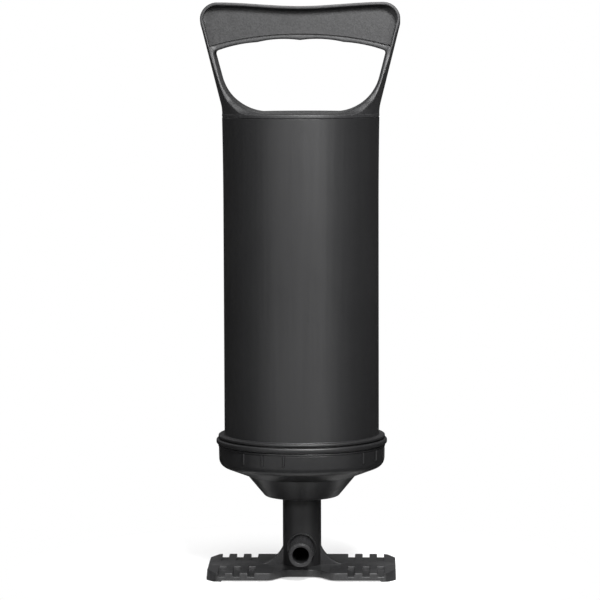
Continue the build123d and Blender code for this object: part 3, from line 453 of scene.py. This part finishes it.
def footPlateGrid(look):
    # closed loops in planes across the plate's length: the tread is the top less the groove's depth,
    # and the top falls as a quarter circle at both ends; stations stand close at each groove's walls
    end, edge, half = look["length"] / 2, look["edge"], look["grooveWidth"] / 2
    soft, low, bevel, rise = look["grooveSoft"], look["lowEdge"], look["frontBevel"], look["creaseRise"]
    middles = [end - look["grooveMargin"] - number * look["groovePitch"] for number in range(look["grooves"])]
    wall = np.array([-half - soft, -half - soft * 0.3, -half, -half + 0.02])
    offsets = np.concatenate([wall, -wall[::-1]])
    marks = np.concatenate([middle + offsets for middle in sorted(middles)])
    depths = np.tile([0, 0.04, 0.16, 1, 1, 0.16, 0.04, 0], len(middles))
    waistEnd, tip = 24, end - 8              # stations stand closer before the one and after the other
    plain = np.concatenate([np.linspace(0, waistEnd, 40), np.linspace(waistEnd, tip, 16),
                            np.linspace(tip, end - 1.0, 22), end - np.array([0.7, 0.45, 0.25, 0.1, 0.03, 0.0]),
                            end - look["pad"] + np.array([-look["archRun"], 0.0])])
    x = np.unique(np.concatenate([plain, marks]))
    x = np.concatenate([-x[:0:-1], x])
    groove = np.interp(np.abs(x), marks, depths, left=0, right=0)
    front, rear = footEdges(look, x)
    frontLow = footEdges(dict(look, frontCorner=look["frontCornerLow"]), x)[0]
    endDrop = edge - np.sqrt(np.clip(edge ** 2 - np.clip(np.abs(x) - end + edge, 0, edge) ** 2, 0, None))
    top = look["top"] - endDrop
    tread = top - groove * look["grooveDepth"]
    step = top - tread
    foot = np.clip((end - look["pad"] - np.abs(x)) / look["archRun"], 0, 1) * look["arch"]
    ridge = np.minimum(look["ridgeHalf"], np.minimum(-front - look["frontTread"], rear - look["rearTread"]))

    def level(y, z):
        # a line of points along the plate, at this distance to the rear and this height
        return np.stack([x, y + 0 * x, z + 0 * x], axis=1)

    # round the section, from the front's lower edge over the tread, the ridge and the tread to the rear;
    # each edge is rounded off in two or three steps
    rows = [level(frontLow + low, foot), level(frontLow, foot + low), level(front, tread - bevel),
            level(front + 0.12 * bevel, tread - 0.6 * bevel), level(front + 0.45 * bevel, tread - 0.2 * bevel),
            level(front + bevel, tread), level(-ridge - 0.05, tread), level(-ridge, tread + 0.1 * step),
            level(-ridge, top - 0.16 * step), level(-ridge + 0.12, top - 0.05 * step), level(-ridge + 0.4, top),
            level(look["crease"] - 0.5, top), level(look["crease"] + 0.1, top + rise),
            level(ridge - 0.4, top + rise * 0.3), level(ridge - 0.12, top - 0.05 * step),
            level(ridge, top - 0.16 * step), level(ridge, tread + 0.1 * step), level(ridge + 0.05, tread),
            level(rear - edge, tread), level(rear - 0.3 * edge, tread - 0.3 * edge), level(rear, tread - edge),
            level(rear, foot + low), level(rear - low, foot)]
    grid = np.stack(rows, axis=1)
    flat, lift = np.array([1, 1, 0]), np.array([0, 0, look["endHeight"]])    # each end closes at this height
    return np.concatenate([grid[:1] * flat + lift, grid, grid[-1:] * flat + lift])


def gussetGrid(look, side):
    # web whose upper edge runs from the rod down to the plate and sags by hollow times 2 t (1 - t);
    # loops round its rounded section along that edge
    reach, high, lap = look["gussetReach"], look["gussetHigh"], look["gussetLap"]
    t = np.linspace(0, 1, 28)
    hollow = look["gussetHollow"] * 0.5
    x = look["rodRadius"] - lap + (reach + lap) * t - hollow * reach * 2 * t * (1 - t)
    z = look["top"] + high * (1 - t) - hollow * high * 2 * t * (1 - t)
    slopeX, slopeZ = np.gradient(x), np.gradient(z)
    length = np.hypot(slopeX, slopeZ)
    outX, outZ = -slopeZ / length, slopeX / length
    half, edge = look["gussetThick"] / 2, look["gussetEdge"]
    turn = np.linspace(0, math.pi / 2, 6)
    rows = []
    for sign, order in ((-1, turn), (1, turn[::-1])):
        for angle in order:
            sink, inset = edge * (1 - math.sin(angle)), edge * (1 - math.cos(angle))
            rows.append(np.stack([x - outX * sink, sign * (half - inset) + 0 * x, z - outZ * sink], axis=1))
    base = look["top"] - look["gussetSink"]
    for y in (half, -half):
        rows.append(np.stack([x - outX * edge, y + 0 * x, np.minimum(z - outZ * edge, base)], axis=1))
    return closeEnds(np.stack(rows, axis=1)) * [side, 1, 1]


footGrids = [footPlateGrid(footLook), gussetGrid(footLook, 1), gussetGrid(footLook, -1)]
makePiece("footPlate", footGrids, finish["foot_plastic"], ["foot_plate"], "foot", sharp=28.0)

# handle: flared struts that grow out of the saddle and a grip with a pocket in both faces

handleLook = {"saddleRadius": 50.7, "saddleTop": 299.2, "saddleFoot": 296.6, "saddleSeam": 0.45,
              "saddleBends": (0, 0.9, 0.15, 0, 0, 0, 0, 0, 0),
              "plugRadius": 47.6, "plugFoot": 291.0, "plugInner": 44.6, "underside": 294.2,
              "skin": 50.65, "spring": 302.2, "shoulder": 356.0, "top": 370.0, "half": 64.1, "bend": 28.0,
              "flareFoot": 290.0, "flareOver": 6.0,              # the flare is drawn from here to past the top
              "corner": 11.0, "dip": 2.5, "windowTop": 345.8, "sideDrop": 7.0, "lowerRadius": 30.6,
              "upperRadius": 2.0, "strutFoot": 5.1, "strutWidth": 4.9,
              "fingerPitch": 27.8, "fingerDrop": 1.3, "fingerSag": 1.3, "outerSag": 1.0,
              "rim": 1.9, "recessCorner": 9.0, "recessLow": (57.9, 341.4), "recessMiddle": 349.0,
              "recessPower": 2.1, "floor": 4.1, "gripHalf": 12.5, "crown": 1.3, "crownRun": 5.0,
              "gripEdge": 1.1, "gripRun": 1.1, "outerEdge": 0.9, "recessEdge": 0.35, "recessFillet": 0.2,
              "moat": 0.5, "moatDepth": 1.0, "bowEnd": 362.0, "bowFade": 14.0,
              "depth": [(298.0, 41.0), (299.2, 36.8), (301.0, 32.0), (305.0, 26.4), (308.0, 22.4), (312.0, 19.8),
                        (318.0, 18.2), (325.0, 16.8), (332.0, 15.0), (338.0, 13.5), (346.0, 12.5), (356.0, 12.5)],
              "rows": {"strut": 56, "spans": (7, 18, 18, 56), "turn": 6, "thin": 14, "easeBefore": 8,
                       "ease": 20,                               # numbers of rows
                       "turnBack": 2.4,                          # the strut ends this far below the corner
                       "window": ((55.2, 337.9), (51.8, 340.6), (46.0, 342.6)),     # a span's end on the
                       "inner": (52.5, 47.0), "outer": 359.1, "outline": 359.0}}    # lines: x, height


def flareLine(look):
    # outline of the struts' skin from the front: up the saddle's side, a wide bend, then a straight flare
    skin, spring, foot, over = look["skin"], look["spring"], look["flareFoot"], look["top"] + look["flareOver"]
    lean = (look["half"] - skin) / (look["shoulder"] - spring)
    far = skin + lean * (over - spring)
    corners = [(0, foot), (skin, foot), (skin, spring), (far, over)]
    return roundedLine(corners, [0, 0, look["bend"], 0], steps=24)[1:]


def bulged(start, end, sag, steps):
    # shallow arc from start to end: the chord plus a parabola across it
    start, end = np.asarray(start, float), np.asarray(end, float)
    share = np.linspace(0, 1, steps)[:, None]
    chord = end - start
    across = np.array([-chord[1], chord[0]]) / np.linalg.norm(chord)
    across = across * np.sign(across[1])
    return start + chord * share + across * sag * 4 * share * (1 - share)


def handleLines(look):
    # right halves of the front-view lines: window, recess inner and outer edge, outline; the recess's
    # inner edge falls from its middle height with a power of the share of its half width
    half, skin, spring, top = look["half"], look["skin"], look["spring"], look["top"]

    def coneAt(z):
        # radius of the straight flare at this height
        return skin + (z - spring) / (look["shoulder"] - spring) * (half - skin)

    cornerZ = look["windowTop"] - look["sideDrop"]
    footPoint = (coneAt(look["saddleTop"]) - look["strutFoot"], look["saddleTop"])
    cornerPoint = (coneAt(cornerZ) - look["strutWidth"], cornerZ)
    cusp = (look["fingerPitch"], look["windowTop"] - look["fingerDrop"])
    skip = 4                                 # points of the first arc that the corner's bend replaces
    firstFinger = bulged(cornerPoint, cusp, look["outerSag"], steps=24)[skip:]
    secondFinger = bulged(cusp, (0, look["windowTop"]), look["fingerSag"], steps=24)
    side = roundedLine([(0, look["saddleTop"]), footPoint, cornerPoint, tuple(firstFinger[0]), (0, spring)],
                       [0, look["lowerRadius"], look["upperRadius"], 0, 0], steps=30)[1:-2]
    window = np.concatenate([side, firstFinger, secondFinger[1:]])
    drop = np.linspace(0, 1, 40)[:, None]
    ease = drop ** 2 * (3 - 2 * drop)

    def topLine(inset, corner):
        # quarter circle round the corner, then the top edge, which dips by a smooth step to the middle
        turn = np.linspace(0, math.pi / 2, 20)
        right, high = half - inset, top - inset
        arc = np.stack([right - corner + corner * np.cos(turn), high - corner + corner * np.sin(turn)], axis=1)
        run = np.concatenate([(right - corner) * (1 - drop), high - look["dip"] * ease], axis=1)
        return np.concatenate([arc, run[1:]])

    flare = flareLine(look)
    flare = flare[flare[:, 1] < look["shoulder"]]
    outline = np.concatenate([flare, [(half, look["shoulder"])], topLine(0, look["corner"])])
    dense = np.linspace(0, 1, 60)[:, None]
    low = np.array(look["recessLow"])
    high = np.array([half - look["rim"], top - look["rim"] - look["recessCorner"]])
    outer = np.concatenate([low * (1 - dense) + high * dense, topLine(look["rim"], look["recessCorner"])[1:]])
    x = np.linspace(low[0], 0, 120)
    fall = (look["recessMiddle"] - low[1]) * np.abs(x / low[0]) ** look["recessPower"]
    return window, np.stack([x, look["recessMiddle"] - fall], axis=1), outer, outline


def bowGrid(look):
    # loops round the bow's section, from the right strut's foot over the grip to the left one's. Each row
    # has a point a on the window, c and d on the recess's edges and b on the outline; its loop runs from
    # the middle plane at a over the rounded edge, the pocket's floor and rim to b, then back mirrored

    def fine(line):
        # the same line as evenly spaced, close points
        return stretch(line, line[0], line[-1], rows=1500)

    window, inner, outer, outline = (fine(line) for line in handleLines(look))
    rows = look["rows"]
    depthLine = smoothCurve(look["depth"], steps=10)
    rising = outline[:700]                   # the part of the outline that rises all the way
    turnStart = window[np.argmax(window[:, 1] > look["windowTop"] - look["sideDrop"] - rows["turnBack"])]
    strutRows = stretch(window, window[0], turnStart, rows["strut"])
    foot = [(strutRows[0, 0], look["saddleTop"] - sunk) for sunk in (1.0, 0.4)]       # rows in the saddle
    strutA = np.concatenate([foot, strutRows])
    strutB = np.stack([np.interp(strutA[:, 1], rising[:, 1], rising[:, 0]), strutA[:, 1]], axis=1)
    low, cornerX, sideX = look["recessLow"], look["half"] - look["corner"], look["half"] - look["rim"]
    upper = outline[np.argmin(np.abs(outline[:, 1] - low[1]))]
    nearWindow = window[np.argmin(np.linalg.norm(window - rows["window"][0], axis=1))]
    keysA = [turnStart, nearWindow, *rows["window"][1:], (0, look["windowTop"])]
    keysC = [None, low, *(inner[np.argmin(np.abs(inner[:, 0] - x))] for x in rows["inner"]), inner[-1]]
    keysD = [None, low, (sideX, rows["outer"]), (cornerX, look["top"] - look["rim"]), outer[-1]]
    keysB = [strutB[-1], upper, (look["half"], rows["outline"]), (cornerX, look["top"]), outline[-1]]
    a, b, c, d, pocket = [strutA], [strutB], [], [], [np.zeros(len(strutA))]
    for span, count in enumerate(rows["spans"]):
        first = 0 if span == 1 else 1        # the pocket begins with a second row in the same place
        a.append(stretch(window, keysA[span], keysA[span + 1], count)[first:])
        b.append(stretch(outline, keysB[span], keysB[span + 1], count)[first:])
        pocket.append(np.full(count - first, float(span > 0)))
        if span > 0:
            c.append(stretch(inner, keysC[span], keysC[span + 1], count)[first:])
            d.append(stretch(outer, keysD[span], keysD[span + 1], count)[first:])
    a, b, pocket = np.concatenate(a), np.concatenate(b), np.concatenate(pocket)
    number = np.arange(len(a))
    plain = int((pocket == 0).sum())
    shoulder, gripHalf = look["shoulder"], look["gripHalf"]
    at = np.where(b[:, 1] > shoulder, shoulder, np.minimum(a[:, 1], shoulder))
    depth = np.interp(at, depthLine[:, 0], depthLine[:, 1])
    thin = np.clip(1 - (number[plain:] - plain) / rows["thin"], 0, 1) ** 2
    depth[plain:] = gripHalf + (depth[plain - 1] - gripHalf) * thin
    skin = np.interp(b[:, 1], rising[:, 1], rising[:, 0])
    fade = np.clip((look["bowEnd"] - b[:, 1]) / look["bowFade"], 0, 1)
    fade = fade * fade * (3 - 2 * fade)

    def shift(line, amount):
        # the line moved outwards by this much
        return np.stack([line[:, 0] + amount, line[:, 1]], axis=1)

    def bow(y):
        # how far the skin's circle falls back at this distance from the middle plane
        return fade * (skin - np.sqrt(np.clip(skin ** 2 - y ** 2, 0, None)))

    def unit(line):
        # each row's direction, its length made one
        return line / np.maximum(np.linalg.norm(line, axis=1, keepdims=True), 1e-9)

    ease = np.clip((number - plain + rows["easeBefore"]) / rows["ease"], 0, 1)
    crown = look["crown"] + (look["gripEdge"] - look["crown"]) * ease
    run = look["crownRun"] + (look["gripEdge"] * look["gripRun"] - look["crownRun"]) * ease
    frontB = shift(b, -bow(depth))
    mid = (shift(a[:plain], crown[:plain]) + frontB[:plain]) / 2
    c, d = np.concatenate([mid] + c), np.concatenate([mid] + d)
    toC = np.where((number < plain - rows["turn"])[:, None], np.array([[1.0, 0.0]]), unit(c - a))
    toB, toD = unit(frontB - d), unit(d - c)
    room, gap, wide = (np.linalg.norm(line, axis=1) for line in (c - a, frontB - d, d - c))
    crown = np.minimum(crown, room * 0.72)   # each rounding takes at most its share of the room there is
    lip = np.minimum(look["recessEdge"], room * 0.2) * pocket
    outerRound = np.minimum(look["outerEdge"], gap * 0.5)
    fillet = np.minimum(look["recessFillet"] * pocket, wide * 0.4)
    moat = np.minimum(look["moat"], wide * 0.2) * pocket         # narrow gutter along the lower wall
    floor = np.where(pocket == 1, look["floor"], depth)
    loops = []

    def add(line, y, direction=0, amount=0 * depth):
        # a point per row at depth y, moved along the row's direction by its amount
        moved = line + direction * amount[:, None]
        loops.append(np.stack([moved[:, 0], -y + 0 * moved[:, 0], moved[:, 1]], axis=1))

    add(a, 0 * depth)
    add(a, (depth - run) * 0.55)
    for angle in np.linspace(0, math.pi / 2, 8):
        add(a, depth - run * (1 - math.sin(angle)), toC, crown * (1 - math.cos(angle)))
    for angle in np.linspace(0, math.pi / 2, 4):
        add(c, depth - lip * (1 - math.cos(angle)), -toC, lip * (1 - math.sin(angle)))
    for across, sunk in ((0.1, 1.0), (0.9, 1.0), (1.4, 0.15), (1.8, 0.0)):
        add(c, floor - look["moatDepth"] * sunk * pocket, toD, moat * across)
    for share in (0.2, 0.4, 0.6, 0.8):
        add(c, floor, toD, 2 * moat + (wide - 2 * moat - fillet) * share)
    for angle in np.linspace(math.pi / 2, 0, 4):
        add(d, floor + fillet * (1 - math.sin(angle)), -toD, fillet * (1 - math.cos(angle)))
    for angle in np.linspace(math.pi / 2, 0, 4):
        add(d, depth - lip * (1 - math.cos(angle)), toB, lip * (1 - math.sin(angle)))
    for angle in np.linspace(0, math.pi / 2, 7):
        y = depth - outerRound * (1 - math.cos(angle))
        add(shift(b, -bow(y)), y, -toB, outerRound * (1 - math.sin(angle)))
    for share in (0.8, 0.6, 0.4, 0.2):
        y = (depth - outerRound) * share
        add(shift(b, -bow(y)), y)
    half = np.stack(loops, axis=1)
    middle = np.stack([b[:, 0], 0 * b[:, 0], b[:, 1]], axis=1)[:, None]
    ring = np.concatenate([half, middle, half[:, :0:-1] * [1, -1, 1]], axis=1)
    return closeEnds(np.concatenate([ring, ring[-2::-1] * [-1, 1, 1]]))


def saddleProfile(look):
    # round plate on the barrel's rim with a plug and a short spigot under it
    top, foot, radius, seam = look["saddleTop"], look["saddleFoot"], look["saddleRadius"], look["saddleSeam"]
    corners = [(0.0, top), (radius, top), (radius, foot + seam), (radius - seam, foot), (look["plugRadius"], foot),
               (look["plugRadius"], look["plugFoot"]), (look["plugInner"], look["plugFoot"]),
               (look["plugInner"], look["underside"]), (0.0, look["underside"])]
    return roundedLine(corners, look["saddleBends"], steps=8)


handleGrids = [bowGrid(handleLook), lathe(saddleProfile(handleLook), roundSteps)]
makePiece("handleGrip", handleGrids, finish["handle_plastic"], ["handle"], "barrel",
          sharp=30.0)

# stage: floor, white surround, soft lamps, camera

stageLook = {"floorSize": 1.2, "floorColour": (0.50, 0.50, 0.50), "floorRough": 0.9, "floorGlow": 0.50,
             "fadeStart": 0.08, "fadeEnd": 0.19, "roomLight": 0.07,
             # the drapes' dark colour is painted darkness that only reflections show
             "reflectionShadeColour": (0.02, 0.02, 0.02), "folds": 16, "foldDepth": 0.01, "drapeColumns": 64,
             "drapes": {                     # low radius, low height, high radius, high height, gap
                 "backDrape": (0.62, 0.0, 0.62, 1.0, 70.0),
                 "lowDrape": (0.27, 0.001, 0.27, 0.1, 62.0),
                 # flat dark ring on the floor round the foot, seen only in reflections: painted shade on the
                 # pump's undersides
                 "undersideShadeDisc": (0.08, 0.0006, 0.27, 0.0006, 0.0),
                 "outerDrape": (0.62, -0.02, 2.35, -0.02, 0.0),
                 "roundDrape": (2.35, -0.02, 2.35, 2.6, 0.0)}}


def seenRays(tree):
    # one where the camera, a gloss ray or a clear material looks, nought for light that falls on things
    path = tree.nodes.new("ShaderNodeLightPath")
    return (Soc(tree, path.outputs["Is Camera Ray"]) + Soc(tree, path.outputs["Is Glossy Ray"])
            + Soc(tree, path.outputs["Is Transmission Ray"])).clamp(0.0, 1.0)


def makeFloor(look):
    # square sheet under the pump: paper that keeps the shadow near the foot and, with the distance from
    # the axis, turns pure white
    half = look["floorSize"] / 2
    mesh = bpy.data.meshes.new("studioFloor")
    mesh.from_pydata([(-half, -half, 0), (half, -half, 0), (half, half, 0), (-half, half, 0)], [], [(0, 1, 2, 3)])
    floor = bpy.data.objects.new("studioFloor", mesh)
    bpy.context.collection.objects.link(floor)
    material, place, shader = newMaterial("whitePaper")
    shader.inputs["Base Color"].default_value = (*look["floorColour"], 1.0)
    shader.inputs["Roughness"].default_value = look["floorRough"]
    shader.inputs["Specular IOR Level"].default_value = 0.0
    tree = material.node_tree
    seen = seenRays(tree)
    glow = place.node("ShaderNodeEmission", Strength=look["floorGlow"])
    black = place.node("ShaderNodeEmission", Strength=0.0)
    extra = place.node("ShaderNodeMixShader", i0=seen, i1=black, i2=glow)
    paper = place.node("ShaderNodeAddShader", i0=Soc(tree, shader.outputs[0]), i1=extra)
    away = place.node("ShaderNodeVectorMath", {"operation": "LENGTH"}, out=1, i0=place)
    far = ((away - look["fadeStart"]) * (1 / (look["fadeEnd"] - look["fadeStart"]))).clamp(0.0, 1.0)
    white = place.node("ShaderNodeEmission", Strength=1.0)
    total = place.node("ShaderNodeMixShader", i0=far * seen, i1=paper, i2=white)
    output = next(node for node in tree.nodes if node.bl_idname == "ShaderNodeOutputMaterial")
    tree.links.new(total.socket, output.inputs[0])
    mesh.materials.append(material)


def hangDrapes(look):
    # dark cloths that only gloss rays meet, so that the pump's skin reflects a dark room; they are painted dark
    # reflections, and the flat one round the foot paints shade on the pump's undersides in place of the white
    # floor: each is a frustum round the pump's axis in shallow folds, open in front by its gap in degrees to
    # either side
    material, _, shader = newMaterial("reflectionShadeCloth")
    shader.inputs["Base Color"].default_value = (*look["reflectionShadeColour"], 1.0)
    shader.inputs["Roughness"].default_value = 1.0
    shader.inputs["Specular IOR Level"].default_value = 0.0
    for name, (lowRadius, low, highRadius, high, gap) in look["drapes"].items():
        angle = np.linspace(math.radians(gap), 2 * math.pi - math.radians(gap), look["drapeColumns"])
        folded = 1 + look["foldDepth"] * np.sin(look["folds"] * angle)
        radius = np.array([lowRadius, highRadius])[:, None] * folded
        level = np.array([low, high])[:, None] + 0 * angle
        ring = np.stack([radius * np.sin(angle), -radius * np.cos(angle), level], axis=2)
        index = np.arange(2 * len(angle)).reshape(2, len(angle))
        faces = np.stack([index[0, :-1], index[1, :-1], index[1, 1:], index[0, 1:]], axis=1).tolist()
        mesh = bpy.data.meshes.new(name)
        mesh.from_pydata(ring.reshape(-1, 3), [], faces)
        drape = bpy.data.objects.new(name, mesh)
        bpy.context.collection.objects.link(drape)
        mesh.materials.append(material)
        drape.visible_camera = drape.visible_diffuse = drape.visible_shadow = drape.visible_transmission = False


def lightRoom(look):
    # even room light; the camera, gloss and clear materials see plain white
    world = bpy.data.worlds.new("studioRoom")
    bpy.context.scene.world = world
    world.use_nodes = True
    tree = world.node_tree
    tree.nodes.clear()
    output = tree.nodes.new("ShaderNodeOutputWorld")
    seen = seenRays(tree)
    room = seen.node("ShaderNodeBackground", Color=(1, 1, 1, 1), Strength=look["roomLight"])
    white = seen.node("ShaderNodeBackground", Color=(1, 1, 1, 1), Strength=1.0)
    mix = seen.node("ShaderNodeMixShader", i0=seen, i1=room, i2=white)
    tree.links.new(mix.socket, output.inputs[0])


aimHeight = 0.2
lamps = {                # turn and rise of each box as seen from the pump in degrees, its reach, size and power
    "frontBox": dict(turn=-8.0, rise=22.0, reach=1.4, size=0.32, power=4.0),
    "rightBox": dict(turn=31.0, rise=20.0, reach=1.4, size=0.32, power=6.6),
    "leftBox": dict(turn=-31.0, rise=20.0, reach=1.4, size=0.32, power=5.0),
    "keyBox": dict(turn=16.0, rise=36.0, reach=0.7, size=0.12, power=7.6),
    "topBox": dict(turn=8.0, rise=78.0, reach=0.85, size=0.24, power=5.5),
    "backBox": dict(turn=180.0, rise=60.0, reach=1.4, size=0.6, power=8.0),
    "rearLeftBox": dict(turn=-140.0, rise=28.0, reach=1.5, size=0.5, power=3.0),
    "rearRightBox": dict(turn=140.0, rise=28.0, reach=1.5, size=0.5, power=3.0),
}


def away(turn, rise):
    # unit vector away from the pump at a turn round its axis and a rise above the horizon, in radians
    return Vector((math.sin(turn) * math.cos(rise), -math.cos(turn) * math.cos(rise), math.sin(rise)))


def addLamp(name, turn, rise, reach, size, power):
    # square soft box on a sphere round the aim, which it faces: place = aim + reach times the unit vector
    aim = Vector((0, 0, aimHeight))
    place = aim + reach * away(math.radians(turn), math.radians(rise))
    data = bpy.data.lights.new(name, "AREA")
    data.shape = "RECTANGLE"
    data.size = data.size_y = size
    data.energy = power
    lamp = bpy.data.objects.new(name, data)
    bpy.context.collection.objects.link(lamp)
    lamp.location = place
    lamp.rotation_mode = "QUATERNION"
    lamp.rotation_quaternion = (aim - place).to_track_quat("-Z", "Y")
    lamp.visible_camera = False


cameraLook = {"turn": 1.3, "pitch": 5.1068, "roll": -0.185, "distance": 1.9926, "aim": (0.0, 0.0, 0.17804),
              "lens": 184.62, "sensor": 36.0, "shift": -0.0021667}


def makeCamera(look):
    # looks at the aim from a turn round the axis and a pitch above the horizon, with a small roll
    roll = math.radians(look["roll"])
    back = away(math.radians(look["turn"]), math.radians(look["pitch"]))
    right = (-back).cross(Vector((0, 0, 1))).normalized()
    up = right.cross(-back)
    rolledRight = right * math.cos(roll) + up * math.sin(roll)
    rolledUp = up * math.cos(roll) - right * math.sin(roll)
    data = bpy.data.cameras.new("studioCamera")
    data.lens, data.sensor_width, data.shift_x = look["lens"], look["sensor"], look["shift"]
    camera = bpy.data.objects.new("studioCamera", data)
    bpy.context.collection.objects.link(camera)
    turned = Matrix((rolledRight, rolledUp, back)).transposed().to_4x4()
    turned.translation = Vector(look["aim"]) + back * look["distance"]
    camera.matrix_world = turned
    bpy.context.scene.camera = camera


makeFloor(stageLook)
hangDrapes(stageLook)
lightRoom(stageLook)
for name, lamp in lamps.items():
    addLamp(name, **lamp)
makeCamera(cameraLook)
bpy.context.scene.view_settings.view_transform = "Standard"
print("stage ready")
